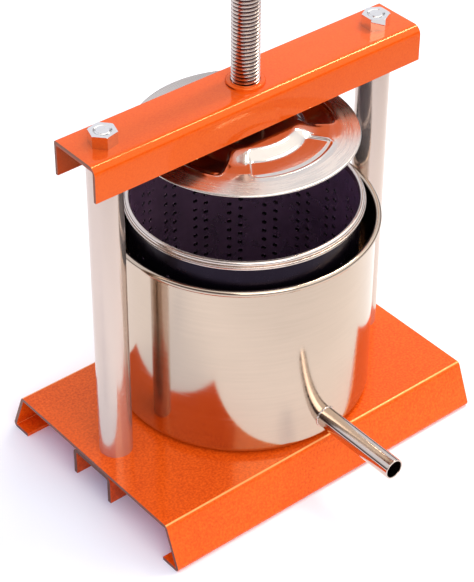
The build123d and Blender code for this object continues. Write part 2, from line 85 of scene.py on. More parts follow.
# ------------------------------------------------------------------ node helpers
def material(name):
    """New material, with its node tree cleared down to one Principled shader."""
    made = bpy.data.materials.new(name)
    made.use_nodes = True
    tree = made.node_tree
    tree.nodes.clear()
    output = tree.nodes.new("ShaderNodeOutputMaterial")
    shader = tree.nodes.new("ShaderNodeBsdfPrincipled")
    tree.links.new(shader.outputs["BSDF"], output.inputs["Surface"])
    return made, tree, shader


def add(tree, kind, **settings):
    """New node with its settings; a setting named after an input sets that input's value."""
    node = tree.nodes.new(kind)
    for key, value in settings.items():
        if key in node.inputs:
            node.inputs[key].default_value = value
        else:
            setattr(node, key, value)
    return node


def math_node(tree, operation, first, second=0.0):
    """Math node on two values, each a number or a socket; returns its output."""
    node = add(tree, "ShaderNodeMath", operation=operation)
    for socket, value in zip(node.inputs, (first, second)):
        if isinstance(value, (int, float)):
            socket.default_value = value
        else:
            tree.links.new(value, socket)
    return node.outputs[0]


def remap(tree, value, from_low, from_high, to_low, to_high):
    """Map a value between two ranges, held at both ends."""
    node = add(tree, "ShaderNodeMapRange")
    for key, number in (("From Min", from_low), ("From Max", from_high),
                        ("To Min", to_low), ("To Max", to_high)):
        node.inputs[key].default_value = number
    tree.links.new(value, node.inputs["Value"])
    return node.outputs[0]


def noise(tree, vector, scale, detail=3.0, roughness=0.55):
    """Noise texture's value, read at a vector socket in metres."""
    node = add(tree, "ShaderNodeTexNoise", Scale=scale, Detail=detail, Roughness=roughness)
    tree.links.new(vector, node.inputs["Vector"])
    return node.outputs[0]


def spread(tree, value, low, high):
    """Map a noise value from its usual 0.3 to 0.7 onto low to high."""
    return remap(tree, value, 0.3, 0.7, low, high)


def two_tone(tree, value, dark, light):
    """Blend two colours by a value from 0 to 1; either colour may be a socket."""
    node = add(tree, "ShaderNodeMix", data_type="RGBA")
    tree.links.new(value, node.inputs[0])
    for socket, colour in ((node.inputs[6], dark), (node.inputs[7], light)):
        if isinstance(colour, tuple):
            socket.default_value = (*colour, 1.0)
        else:
            tree.links.new(colour, socket)
    return node.outputs[2]


def bumps(tree, shader, heights):
    """Chain bump nodes, given as (height socket, strength, distance in metres)."""
    normal = None
    for height, strength, distance in heights:
        node = add(tree, "ShaderNodeBump", Strength=strength, Distance=distance)
        tree.links.new(height, node.inputs["Height"])
        if normal:
            tree.links.new(normal, node.inputs["Normal"])
        normal = node.outputs[0]
    tree.links.new(normal, shader.inputs["Normal"])


def position(tree):
    """Object coordinates, in metres."""
    return tree.nodes.new("ShaderNodeTexCoord").outputs["Object"]


def polar(tree, where, axis):
    """(angle, radius, height) sockets of a point round an upright axis."""
    split = add(tree, "ShaderNodeSeparateXYZ")
    tree.links.new(where, split.inputs[0])
    x = math_node(tree, "SUBTRACT", split.outputs[0], axis.x)
    y = math_node(tree, "SUBTRACT", split.outputs[1], axis.y)
    squares = math_node(tree, "ADD", math_node(tree, "MULTIPLY", x, x),
                        math_node(tree, "MULTIPLY", y, y))
    return math_node(tree, "ARCTAN2", y, x), math_node(tree, "SQRT", squares), split.outputs[2]


def linear(red, green, blue):
    """Linear colour of an sRGB one given from 0 to 255."""
    return tuple((c / 255 / 12.92) if c < 11 else ((c / 255 + 0.055) / 1.055) ** 2.4
                 for c in (red, green, blue))


# ------------------------------------------------------------------ materials
def inside_channel(tree, where, low, high, sheet):
    """One inside a folded channel that is open below, nought on its outer faces."""
    split = add(tree, "ShaderNodeSeparateXYZ")
    tree.links.new(where, split.inputs[0])
    middle = (low.y + high.y) / 2
    half = (high.y - low.y) / 2
    offset = math_node(tree, "ABSOLUTE", math_node(tree, "SUBTRACT", split.outputs[1], middle))
    between = remap(tree, offset, half - 0.8 * sheet, half - 0.5 * sheet, 1.0, 0.0)
    under = remap(tree, split.outputs[2], high.z - 0.8 * sheet, high.z - 0.5 * sheet, 1.0, 0.0)
    return math_node(tree, "MULTIPLY", between, under)


def facing(tree):
    """X, Y and Z sockets of the surface normal."""
    normal = add(tree, "ShaderNodeNewGeometry").outputs["Normal"]
    split = add(tree, "ShaderNodeSeparateXYZ")
    tree.links.new(normal, split.inputs[0])
    return split.outputs


def on_bends(tree):
    """One along the rounded bends between a level top and a steep side, nought elsewhere."""
    _, y, z = facing(tree)
    lean = math_node(tree, "ABSOLUTE", y)
    over = math_node(tree, "MULTIPLY", remap(tree, lean, 0.12, 0.24, 0.0, 1.0),
                     remap(tree, lean, 0.45, 0.62, 1.0, 0.0))
    return math_node(tree, "MULTIPLY", over, remap(tree, z, 0.5, 0.7, 0.0, 1.0))


def on_ends(tree):
    """One on faces that look along the press's length, as sawn or sheared ends do."""
    along = math_node(tree, "ABSOLUTE", facing(tree)[0])
    return remap(tree, along, 0.9, 0.97, 0.0, 1.0)


def paint(name, light, dark, roughness, grain, grain_height, gloss, channel=None, bend_highlight=None,
          ends=True):
    """Powder-coated paint with a warm gloss: faint mottling, fine grain, soft orange peel.

    Inside a channel, given as (low, high, sheet), the coat is painted darker as painted shade,
    and, with ends, the cut ends are painted darker as painted shade.
    Rubbed is the paler colour of the coat where it is rubbed thin along the bends.
    """
    made, tree, shader = material(name)
    where = position(tree)
    mottle = spread(tree, noise(tree, where, 28.0), 0.0, 1.0)
    speck = spread(tree, noise(tree, where, grain, 2.0), 0.0, 1.0)
    mixed = math_node(tree, "ADD", math_node(tree, "MULTIPLY", mottle, 0.2),
                      math_node(tree, "MULTIPLY", speck, 0.8))
    coat = two_tone(tree, mixed, dark, light)
    shade = tuple(share * c for share, c in zip((0.5, 0.2, 0.2), dark))
    # Faces that look along the press's length are painted darker: painted shade on the cut ends.
    if ends:
        end_shade = tuple(0.35 * c for c in shade)
        coat = two_tone(tree, on_ends(tree), coat, end_shade)
    # Inside the channel the coat is painted darker: painted shade.
    if channel:
        channel_shade = two_tone(tree, mixed, tuple(0.7 * c for c in shade), shade)
        coat = two_tone(tree, inside_channel(tree, where, *channel), coat, channel_shade)
    # Paler colour along the bends: a painted highlight.
    if bend_highlight:
        coat = two_tone(tree, on_bends(tree), coat, bend_highlight)
    tree.links.new(coat, shader.inputs["Base Color"])
    rough = spread(tree, noise(tree, where, 60.0), 0.85 * roughness, 1.2 * roughness)
    tree.links.new(rough, shader.inputs["Roughness"])
    shader.inputs["Specular IOR Level"].default_value = gloss
    shader.inputs["Specular Tint"].default_value = (1.0, 0.66, 0.26, 1.0)
    peel = noise(tree, where, 320.0, 1.0)
    fine = noise(tree, where, grain, 2.0)
    bumps(tree, shader, [(peel, 0.25, 0.00006), (fine, 0.35, grain_height)])
    return made


def steel(name, colour, roughness, axis=None, around=2.0, along=900.0, lines=0.05, metal=1.0,
          satin=None):
    """Bare or plated steel. With an axis, fine turning or polishing lines run round it.

    Satin, given as (radius, roughness), makes everything beyond that radius duller.
    """
    made, tree, shader = material(name)
    where = position(tree)
    shader.inputs["Metallic"].default_value = metal
    if axis is None:
        streak = noise(tree, where, 500.0, 3.0)
    else:
        angle, radius, height = polar(tree, where, axis)
        join = add(tree, "ShaderNodeCombineXYZ")
        tree.links.new(math_node(tree, "MULTIPLY", math_node(tree, "SINE", angle), around),
                       join.inputs[0])
        tree.links.new(math_node(tree, "MULTIPLY", math_node(tree, "COSINE", angle), around),
                       join.inputs[1])
        level = math_node(tree, "ADD", height, radius)
        tree.links.new(math_node(tree, "MULTIPLY", level, along), join.inputs[2])
        streak = noise(tree, join.outputs[0], 1.0, 3.0)
    cloud = noise(tree, where, 22.0)
    tone = math_node(tree, "ADD", math_node(tree, "MULTIPLY", spread(tree, streak, 0.0, 1.0), 0.6),
                     math_node(tree, "MULTIPLY", spread(tree, cloud, 0.0, 1.0), 0.4))
    dark = tuple(0.9 * c for c in colour)
    tree.links.new(two_tone(tree, tone, dark, colour), shader.inputs["Base Color"])
    rough = spread(tree, tone, 0.75 * roughness, 1.3 * roughness)
    if satin:
        dull = remap(tree, radius, satin[0], satin[0] + 3.0 * MM, 0.0, satin[1] - roughness)
        rough = math_node(tree, "ADD", rough, dull)
    tree.links.new(rough, shader.inputs["Roughness"])
    bumps(tree, shader, [(streak, lines, 0.00003)])
    return made


def thread_steel(name, crest, groove_shade):
    """Bright rolled thread, painted darker in its grooves as painted shade."""
    made, tree, shader = material(name)
    where = position(tree)
    shader.inputs["Metallic"].default_value = 1.0
    _, radius, height = polar(tree, where, PRESS_AXIS)
    depth = THREAD_DEPTH * SPINDLE_PITCH
    open_part = remap(tree, radius, SPINDLE_RADIUS - 0.95 * depth, SPINDLE_RADIUS - 0.35 * depth,
                      0.0, 1.0)
    cloud = noise(tree, where, 70.0)
    # Blend from the painted shade in the grooves to the bright crests.
    crest_share = math_node(tree, "MULTIPLY", open_part, spread(tree, cloud, 0.8, 1.0))
    tree.links.new(two_tone(tree, crest_share, groove_shade, crest), shader.inputs["Base Color"])
    tree.links.new(spread(tree, cloud, 0.12, 0.24), shader.inputs["Roughness"])
    bumps(tree, shader, [(noise(tree, where, 900.0), 0.1, 0.00003)])
    return made


def enamel(name, inner, outer):
    """Glossy basket metal painted dark as painted shade: near black on the outer face, and its own
    purple-grey on the face that looks at the press axis.
    """
    made, tree, shader = material(name)
    where = position(tree)
    radial = add(tree, "ShaderNodeVectorMath", operation="SUBTRACT")
    tree.links.new(where, radial.inputs[0])
    radial.inputs[1].default_value = PRESS_AXIS
    geometry = add(tree, "ShaderNodeNewGeometry")
    away = add(tree, "ShaderNodeVectorMath", operation="DOT_PRODUCT")
    tree.links.new(radial.outputs[0], away.inputs[0])
    tree.links.new(geometry.outputs["Normal"], away.inputs[1])
    outward = remap(tree, away.outputs["Value"], -0.01, 0.01, 0.0, 1.0)
    cloud = spread(tree, noise(tree, where, 35.0), 0.0, 1.0)
    inside = two_tone(tree, cloud, tuple(0.7 * c for c in inner), inner)
    outside = two_tone(tree, cloud, tuple(0.8 * c for c in outer), outer)
    tree.links.new(two_tone(tree, outward, inside, outside), shader.inputs["Base Color"])
    tree.links.new(spread(tree, noise(tree, where, 80.0), 0.24, 0.36), shader.inputs["Roughness"])
    shader.inputs["Metallic"].default_value = 0.85
    bumps(tree, shader, [(noise(tree, where, 260.0, 2.0), 0.2, 0.00008)])
    return made


def grip(name):
    """Moulded black plastic with a fine leather-like grain."""
    made, tree, shader = material(name)
    where = position(tree)
    cells = add(tree, "ShaderNodeTexVoronoi", Scale=1400.0)
    tree.links.new(where, cells.inputs["Vector"])
    cloud = spread(tree, noise(tree, where, 60.0), 0.0, 1.0)
    tree.links.new(two_tone(tree, cloud, (0.012, 0.012, 0.013), (0.022, 0.022, 0.024)),
                   shader.inputs["Base Color"])
    tree.links.new(spread(tree, noise(tree, where, 90.0), 0.38, 0.5), shader.inputs["Roughness"])
    bumps(tree, shader, [(cells.outputs["Distance"], 0.4, 0.00012)])
    return made


BEAM_SHEET = 3.0 * MM
BEAM_ORANGE = (linear(228, 90, 16), linear(218, 74, 10))
MATERIALS = {
    # The beam's coat is painted darker inside its open channel: painted shade.
    "beam_paint": paint("beam_paint", *BEAM_ORANGE, 0.08, 900.0, 0.00001, 0.75,
                        channel=(BEAM_LOW, BEAM_HIGH, BEAM_SHEET)),
    "hub_paint": paint("hub_paint", *BEAM_ORANGE, 0.08, 900.0, 0.00001, 0.75, ends=False),
    # The base's paint carries a painted highlight along its bends.
    "base_paint": paint("base_paint", linear(250, 100, 22), linear(214, 66, 8), 0.15, 620.0,
                        0.00008, 0.6, bend_highlight=linear(255, 172, 100)),
    # The lower channel's orange is a darker copy of the base's paint: painted shade under the base
    # plate.
    "channel_shade_paint": paint("channel_shade_paint", linear(214, 78, 24), linear(160, 52, 16), 0.3, 620.0,
                           0.00012, 0.4),
    "tank_steel": steel("tank_steel", linear(202, 184, 166), 0.11, TANK_AXIS, along=700.0),
    "plate_steel": steel("plate_steel", linear(220, 211, 203), 0.12, PRESS_AXIS, around=3.0,
                         lines=0.04, satin=(58.0 * MM, 0.27)),
    "tube_steel": steel("tube_steel", linear(212, 195, 184), 0.2, lines=0.015, metal=0.8),
    "bar_steel": steel("bar_steel", linear(214, 200, 188), 0.18, lines=0.015),
    "spout_steel": steel("spout_steel", linear(214, 200, 190), 0.1),
    "turned_steel": steel("turned_steel", linear(206, 194, 188), 0.2, PRESS_AXIS, around=4.0,
                          along=3000.0, lines=0.1),
    "rim_steel": steel("rim_steel", linear(222, 210, 202), 0.2, lines=0.01),
    "thread_steel": thread_steel("thread_steel", linear(222, 210, 202), linear(104, 72, 76)),
    "zinc": steel("zinc", linear(234, 232, 230), 0.06),
    # Near-black steel for the hole lips and the basket's seam: painted shade, so the holes show as
    # wider dark dots.
    "burr_steel": steel("burr_steel", (0.12, 0.08, 0.12), 0.14),
    # The basket's colours are painted shade: purple-grey on its inner face, near black on its
    # outer face.
    "enamel": enamel("enamel", (0.52, 0.32, 0.52), (0.013, 0.008, 0.018)),
    "bronze": steel("bronze", linear(196, 150, 92), 0.3),
    "grip": grip("grip"),
}
FINISH = {
    "base_paint": ("base_plate",),
    "channel_shade_paint": ("lower_channel",),
    "beam_paint": ("crossbeam",),
    "hub_paint": ("handle_hub",),
    "tube_steel": ("column_left", "column_right"),
    "bar_steel": ("handle_bar",),
    "spout_steel": ("spout_tube",),
    "zinc": ("top_nuts", "bottom_nuts", "bottom_washers", "hub_screws", "hub_pin",
             "bar_set_screw"),
    "plate_steel": ("basket_feet",),
    "turned_steel": ("plate_hub",),
    "tank_steel": ("tank_wall", "tank_rim", "tank_corner", "tank_floor"),
    "enamel": ("basket_wall", "basket_floor"),
    "bronze": ("thrust_washer",),
}


def wear(piece, name):
    """Give a piece one of the scene's materials."""
    piece.data.materials.clear()
    piece.data.materials.append(MATERIALS[name])


for finish, nodes in FINISH.items():
    for node in nodes:
        wear(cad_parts[node], finish)


# ------------------------------------------------------------------ mesh helpers
def shaped(name, verts, faces, finish, body, slot, replaced=(), sharp=35.0):
    """Finished piece from vertices and faces, which rides on a body.

    Edges that turn by more than sharp, in degrees, stay crisp.
    """
    mesh = bpy.data.meshes.new(name)
    mesh.from_pydata([tuple(v) for v in verts], [], faces)
    work = bmesh.new()
    work.from_mesh(mesh)
    bmesh.ops.remove_doubles(work, verts=work.verts, dist=1e-7)
    bmesh.ops.recalc_face_normals(work, faces=work.faces)
    for edge in work.edges:
        if len(edge.link_faces) == 2:
            edge.smooth = edge.calc_face_angle(0.0) < math.radians(sharp)
    for face in work.faces:
        face.smooth = True
    work.to_mesh(mesh)
    work.free()
    piece = bpy.data.objects.new(name, mesh)
    bpy.context.collection.objects.link(piece)
    wear(piece, finish)
    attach(piece, body)
    if replaced:
        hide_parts(*replaced)
    return piece


def lathe(profile, axis, steps=96, closed=False):
    """Vertices and faces of a profile of (radius, height) turned round an upright axis.

    An open profile runs from the axis to the axis; a closed one makes a ring.
    """
    verts = []
    for k in range(steps):
        turn = TURN * k / steps
        verts += [(axis.x + r * math.cos(turn), axis.y + r * math.sin(turn), z)
                  for r, z in profile]
    return verts, turned_faces(steps, len(profile), closed)


def turned_faces(steps, count, closed):
    """Faces between equal profiles of count points that follow each other round an axis."""
    faces = []
    for k in range(steps):
        here = k * count
        there = (k + 1) % steps * count
        for i in range(count if closed else count - 1):
            j = (i + 1) % count
            faces.append((here + i, there + i, there + j, here + j))
    return faces


def ring_of(points, normals, radius, sides=10):
    """Vertices and faces of a closed bead along points, in the planes of normal pairs."""
    verts = []
    for point, (first, second) in zip(points, normals):
        for s in range(sides):
            turn = TURN * s / sides
            verts.append(point + radius * (math.cos(turn) * first + math.sin(turn) * second))
    count = len(points)
    faces = []
    for k in range(count):
        for s in range(sides):
            a = k * sides + s
            b = k * sides + (s + 1) % sides
            c = (k + 1) % count * sides
            faces.append((a, b, c + (s + 1) % sides, c + s))
    return verts, faces


def arc(centre, radius, start, end, steps):
    """Points on an arc of a profile, angles in degrees."""
    turns = [math.radians(start + (end - start) * k / steps) for k in range(steps + 1)]
    return [(centre[0] + radius * math.cos(t), centre[1] + radius * math.sin(t)) for t in turns]


def smoothstep(low, high, value):
    """0 below low, 1 above high, and a smooth rise between."""
    t = min(max((value - low) / (high - low), 0.0), 1.0)
    return t * t * (3 - 2 * t)


# ------------------------------------------------------------------ threads
THREAD_PROFILE = ((0.0, 0.0), (0.10, 0.0), (0.19, 0.33), (0.28, 0.67), (0.40, 1.0), (0.60, 1.0),
                  (0.72, 0.67), (0.81, 0.33), (0.90, 0.0))
THREAD_SIDES = 48


def thread(axis, low, high, radius, pitch, lead_in):
    """Right-hand thread between two levels, with a turned lead-in cone at both ends.

    The rows follow the helix. Each profile point is a height in pitches and a share of the depth.
    """
    depth = THREAD_DEPTH * pitch
    turns = math.ceil((high - low) / pitch) + 2
    rows = [(k + height, share) for k in range(-1, turns) for height, share in THREAD_PROFILE]
    verts = []
    for side in range(THREAD_SIDES):
        turn = TURN * side / THREAD_SIDES
        for height, share in rows:
            z = low + pitch * (height + side / THREAD_SIDES)
            end = min(z - low, high - z)
            cone = radius - max(lead_in - end, 0.0)
            r = max(min(radius - depth * share, cone), radius - 1.2 * depth)
            verts.append((axis.x + r * math.cos(turn), axis.y + r * math.sin(turn), z))
    count = len(rows)
    per_pitch = len(THREAD_PROFILE)
    faces = []
    for side in range(THREAD_SIDES):
        wrap = side == THREAD_SIDES - 1
        there = 0 if wrap else (side + 1) * count
        shift = per_pitch if wrap else 0
        for i in range(count - 1 - shift):
            here = side * count + i
            faces.append((here, there + i + shift, there + i + shift + 1, here + 1))
    return trimmed(verts, faces, low, high)


def trimmed(verts, faces, low, high):
    """Cut a tube square at two levels and close its ends."""
    work = bmesh.new()
    made = [work.verts.new(v) for v in verts]
    for face in faces:
        work.faces.new([made[i] for i in face])
    for level, side in ((low, -1), (high, 1)):
        everything = work.verts[:] + work.edges[:] + work.faces[:]
        bmesh.ops.bisect_plane(work, geom=everything, dist=1e-8, plane_co=(0, 0, level),
                               plane_no=(0, 0, side), clear_outer=True)
        rim = [e for e in work.edges if e.is_boundary
               and all(abs(v.co.z - level) < 1e-6 for v in e.verts)]
        bmesh.ops.edgeloop_fill(work, edges=rim)
    work.verts.index_update()
    kept = [v.co.copy() for v in work.verts]
    sides = [tuple(v.index for v in f.verts) for f in work.faces]
    work.free()
    return kept, sides


def joined(*shapes):
    """One vertex and face list from several."""
    verts, faces = [], []
    for more_verts, more_faces in shapes:
        faces += [tuple(i + len(verts) for i in face) for face in more_faces]
        verts += list(more_verts)
    return verts, faces


def spindle():
    """Spindle with its thread, grooved journal below and plain spigot above."""
    shoulder = SPINDLE_LOW.z + JOURNAL_LENGTH
    thread_top = SPINDLE_HIGH.z - SPIGOT_LENGTH
    middle = (SPINDLE_LOW.z + shoulder) / 2
    edge = 0.6 * MM
    body = thread(PRESS_AXIS, shoulder, thread_top, SPINDLE_RADIUS, SPINDLE_PITCH, 1.5 * MM)
    journal = lathe([
        (0, SPINDLE_LOW.z), (JOURNAL_RADIUS - edge, SPINDLE_LOW.z),
        (JOURNAL_RADIUS, SPINDLE_LOW.z + edge), (JOURNAL_RADIUS, middle - GROOVE_WIDTH / 2),
        (GROOVE_RADIUS, middle - GROOVE_WIDTH / 2), (GROOVE_RADIUS, middle + GROOVE_WIDTH / 2),
        (JOURNAL_RADIUS, middle + GROOVE_WIDTH / 2), (JOURNAL_RADIUS, shoulder + edge),
        (0, shoulder + edge)], PRESS_AXIS, 64)
    spigot = lathe([
        (0, thread_top - edge), (SPIGOT_RADIUS, thread_top - edge),
        (SPIGOT_RADIUS, SPINDLE_HIGH.z - edge), (SPIGOT_RADIUS - edge, SPINDLE_HIGH.z),
        (0, SPINDLE_HIGH.z)], PRESS_AXIS, 64)
    shaped("threaded_spindle", *joined(body, journal, spigot), "thread_steel", "screw",
           "machined_steel", ["screw_spindle"])


def tie_rods():
    """Tie rods, threaded at both ends, with a thinner rolled shank between."""
    radius = (ROD_HIGH.x - ROD_LOW.x) / 2
    shank = radius - 0.45 * MM
    for side, sign in (("left", -1), ("right", 1)):
        axis = Vector((sign * COLUMN_X, PRESS_AXIS.y, 0))
        top = thread(axis, ROD_HIGH.z - ROD_THREAD, ROD_HIGH.z, radius, ROD_PITCH, 0.8 * MM)
        foot = thread(axis, ROD_LOW.z, ROD_LOW.z + FOOT_THREAD, radius, ROD_PITCH, 0.8 * MM)
        low = ROD_LOW.z + FOOT_THREAD - MM
        high = ROD_HIGH.z - ROD_THREAD + MM
        middle = lathe([(0, low), (shank, low), (shank, high), (0, high)], axis, 48)
        shaped(f"threaded_rod_{side}", *joined(top, foot, middle), "zinc", "frame",
               "zinc_plate", [f"tie_rod_{side}"])


# ------------------------------------------------------------------ crossbeam
BEAM_BEND = 4.5 * MM
BACK_BEND = 1.6 * MM
FRONT_BEND = 6.0 * MM
FLANGE_THINNER = 0.9 * MM


def folded_beam():
    """Crossbeam as folded: a tight bend behind, a soft one in front and thinned flanges."""
    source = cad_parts["crossbeam"]
    bpy.context.view_layer.update()
    reach = BEAM_BEND + 0.01 * MM
    inner = BEAM_SHEET - 0.01 * MM
    verts = []
    for vertex in source.data.vertices:
        x, y, z = source.matrix_world @ vertex.co
        down = BEAM_HIGH.z - z
        for side, inward, bend in ((BEAM_HIGH.y, -1, BACK_BEND), (BEAM_LOW.y, 1, FRONT_BEND)):
            across = (y - side) * inward
            if across > reach:
                continue
            if across > inner and down > inner:
                across -= FLANGE_THINNER
            elif down < reach:
                across *= bend / BEAM_BEND
                z = BEAM_HIGH.z - down * bend / BEAM_BEND
            y = side + inward * across
        verts.append((x, y, z))
    faces = [tuple(face.vertices) for face in source.data.polygons]
    shaped("folded_beam", verts, faces, "beam_paint", "frame", "orange_paint", ["crossbeam"], 40.0)


# ------------------------------------------------------------------ press plate
RIB_COUNT = 4
DOME_RISE = 6.5 * MM
DOME_EDGE = 30.0 * MM
DOME_FOOT = 40.5 * MM
POCKET_OUTER = 56.5 * MM
POCKET_DEPTH = 1.0 * MM
POCKET_HALF = math.radians(36)
POCKET_CORNER = 5.0 * MM
RING_RISE = 2.4 * MM
RING_DROP = 2.6 * MM
LIP_HEIGHT = 0.22 * MM
LIP_WIDTH = 0.9 * MM
PLATE_SHEET = 1.6 * MM
PLATE_FACE = PLATE_HIGH.z - DOME_RISE


def plate_height(radius, angle):
    """Height of the plate's upper face above its flat: dome, four lipped pockets, ribs, rim."""
    step = TURN / RIB_COUNT
    turn = (angle + math.pi / 2 + step / 2) % step - step / 2
    across = abs(turn) * radius - POCKET_HALF * radius + POCKET_CORNER
    outward = radius - POCKET_OUTER + POCKET_CORNER
    corner = math.hypot(max(across, 0.0), max(outward, 0.0)) + min(max(across, outward), 0.0)
    edge = corner - POCKET_CORNER
    in_pocket = 1 - smoothstep(-1.5 * MM, 0.0, edge)
    rib = smoothstep(-3.0 * MM, 3.0 * MM, across - POCKET_CORNER)
    foot = DOME_FOOT + 5.0 * MM * rib
    dome = (DOME_RISE - RING_RISE) * (1 - smoothstep(DOME_EDGE, foot, radius))
    inner = smoothstep(DOME_EDGE, DOME_FOOT, radius)
    lip = LIP_HEIGHT * inner * max(0.0, 1 - ((edge - 0.2 * MM) / LIP_WIDTH) ** 2)
    slope = max(radius - POCKET_OUTER + 4.0 * MM, 0.0) / (PLATE_HIGH.x - POCKET_OUTER + 4.0 * MM)
    return RING_RISE + dome + lip - POCKET_DEPTH * in_pocket * inner - RING_DROP * slope


def press_plate():
    """Stamped stainless plate with a rounded rim and a hole for the hub."""
    bore = (HUB_HIGH.x - HUB_LOW.x) / 2 - 4 * MM
    edge = PLATE_HIGH.x
    around, rings = 420, 120
    radii = [bore + (edge - PLATE_SHEET / 2 - bore) * k / rings for k in range(rings + 1)]
    verts = []
    for k in range(around):
        turn = TURN * k / around
        heights = [PLATE_FACE + plate_height(r, turn) for r in radii]
        section = list(zip(radii, heights))
        rim = heights[-1] - PLATE_SHEET / 2
        section += arc((radii[-1], rim), PLATE_SHEET / 2, 90, -90, 6)[1:-1]
        section += [(r, z - PLATE_SHEET) for r, z in list(zip(radii, heights))[::-3]]
        verts += [(PRESS_AXIS.x + r * math.cos(turn), PRESS_AXIS.y + r * math.sin(turn), z)
                  for r, z in section]
    faces = turned_faces(around, len(section), closed=True)
    shaped("stamped_plate", verts, faces, "plate_steel", "plate", "polished_stainless",
           ["press_plate"], 50.0)


# ------------------------------------------------------------------ basket and tank trim
def basket_rim():
    """Rolled hem: a round bead, and the turned edge of the sheet as a thin line outside it."""
    bead = 1.75 * MM
    edge = 0.4 * MM
    outer = RIM_HIGH.x
    centre = (outer - 1.5 * MM - bead, RIM_HIGH.z - bead)
    lip = (outer - 0.7 * MM - edge, RIM_HIGH.z - 3.4 * MM)
    inner = centre[0] - bead
    profile = arc(centre, bead, -50, 180, 24)
    profile += [(inner, RIM_HIGH.z - 5.1 * MM), (lip[0], RIM_HIGH.z - 5.1 * MM)]
    profile += arc(lip, edge, -60, 120, 8)
    shaped("rolled_basket_rim", *lathe(profile, PRESS_AXIS, 180, closed=True), "rim_steel",
           "basket", "polished_stainless", ["basket_rim"], 60.0)


TANK_SEAM_TURN = math.radians(62)
BASKET_SEAM_TURN = math.radians(-124.8)
STITCH_STARTS = (-92 * MM, -46 * MM, 24 * MM, 70 * MM)
STITCH_LENGTH = 22 * MM
STITCH_SIZE = 1.8 * MM
SEAM_HALF = 1.3 * MM
SEAM_HEIGHT = 0.4 * MM


def seam(name, axis, radius, turn_of, levels, side, finish, body, slot):
    """Ground vertical weld along a cylinder; side is 1 on its outer face and -1 on its inner."""
    low, high = levels
    steps, across = 240, 8
    verts, faces = [], []
    for k in range(steps + 1):
        z = low + (high - low) * k / steps
        ripple = 1 + 0.25 * math.sin(1.7 * k) + 0.1 * math.sin(0.41 * k)
        for i in range(across + 1):
            share = 2 * i / across - 1
            turn = turn_of + SEAM_HALF * share / radius
            r = radius + side * (SEAM_HEIGHT * (1 - share * share) * ripple - 0.03 * MM)
            verts.append((axis.x + r * math.cos(turn), axis.y + r * math.sin(turn), z))
    for k in range(steps):
        for i in range(across):
            here = k * (across + 1) + i
            faces.append((here, here + 1, here + across + 2, here + across + 1))
    shaped(name, verts, faces, finish, body, slot)


def seams():
    """Vertical welds that close the tank's wall at the back and the basket's wall at the front."""
    seam("tank_seam_weld", TANK_AXIS, (TANK_HIGH.x - TANK_LOW.x) / 2, TANK_SEAM_TURN,
         (TANK_LOW.z + 0.5 * MM, TANK_HIGH.z - 0.5 * MM), 1, "spout_steel", "tank",
         "polished_stainless")
    seam("basket_seam_weld", PRESS_AXIS, BASKET_BORE, BASKET_SEAM_TURN,
         (WALL_LOW.z + 4.0 * MM, RIM_LOW.z - 0.5 * MM), -1, "burr_steel", "basket",
         "dark_enamel")


def stitch_welds():
    """Short fillet welds that hold the lower channel under the base plate."""
    low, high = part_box("lower_channel")
    steps, around = 44, 10
    verts, faces = [], []
    for y in (low.y, high.y):
        for start in STITCH_STARTS:
            first = len(verts)
            for k in range(steps + 1):
                end = min(k, steps - k) / 4
                size = STITCH_SIZE * min(1.0, 0.15 + end) * (1 + 0.08 * math.sin(2.1 * k))
                for i in range(around):
                    t = TURN * i / around
                    verts.append((start + STITCH_LENGTH * k / steps, y + size * math.cos(t),
                                  high.z - 0.2 * MM + size * math.sin(t)))
            for k in range(steps):
                for i in range(around):
                    here, there = first + k * around, first + (k + 1) * around
                    j = (i + 1) % around
                    faces.append((here + i, there + i, there + j, here + j))
            faces.append(tuple(range(first, first + around)))
            last = first + steps * around
            faces.append(tuple(range(last, last + around)))
    shaped("channel_stitch_welds", verts, faces, "channel_shade_paint", "frame", "orange_paint")


HOLE_PAIRS = 19
HOLE_ROWS = 16
HOLE_ROW_PITCH = 7.2 * MM
HOLE_PAIR_ANGLE = math.radians(6.1)
FIRST_PAIR_ANGLE = math.radians(-80.5)
FIRST_ROW_BELOW_TOP = 25 * MM
HOLE_RADIUS = 1.25 * MM
LIP_RADIUS = 0.32 * MM


def hole_burrs():
    """Raised lips that the punch left round every hole, on the basket's inner face."""
    lips = []
    for pair in range(HOLE_PAIRS):
        for half in (0, 1):
            turn = TURN * pair / HOLE_PAIRS + half * HOLE_PAIR_ANGLE + FIRST_PAIR_ANGLE
            out = Vector((math.cos(turn), math.sin(turn), 0))
            along = Vector((-math.sin(turn), math.cos(turn), 0))
            for row in range(HOLE_ROWS):
                drop = FIRST_ROW_BELOW_TOP + HOLE_ROW_PITCH * (row + (1 - half) / 2)
                centre = PRESS_AXIS + out * BASKET_BORE + Vector((0, 0, RIM_HIGH.z - drop))
                points, normals = [], []
                for k in range(12):
                    t = TURN * k / 12
                    spoke = math.cos(t) * along + math.sin(t) * Vector((0, 0, 1))
                    points.append(centre + (HOLE_RADIUS + 0.18 * MM) * spoke)
                    normals.append((spoke, out))
                lips.append(ring_of(points, normals, LIP_RADIUS, 6))
    shaped("punched_hole_lips", *joined(*lips), "burr_steel", "basket", "dark_enamel", (), 80.0)


def spout_weld():
    """Rippled weld bead where the outlet tube meets the tank wall."""
    points, normals = [], []
    count = 120
    for k in range(count):
        turn = TURN * k / count
        x = SPOUT_RADIUS * math.cos(turn)
        z = SPOUT_RADIUS * math.sin(turn)
        ripple = 0.12 * MM * math.sin(20 * turn)
        y = -math.sqrt(TANK_OUTER ** 2 - x ** 2) - ripple
        out = Vector((math.cos(turn), 0, math.sin(turn)))
        points.append(Vector((TANK_AXIS.x + x, TANK_AXIS.y + y, SPOUT_Z + z)))
        normals.append((out, Vector((0, -1, 0))))
    shaped("spout_weld", *ring_of(points, normals, 0.8 * MM), "spout_steel", "tank",
           "polished_stainless")


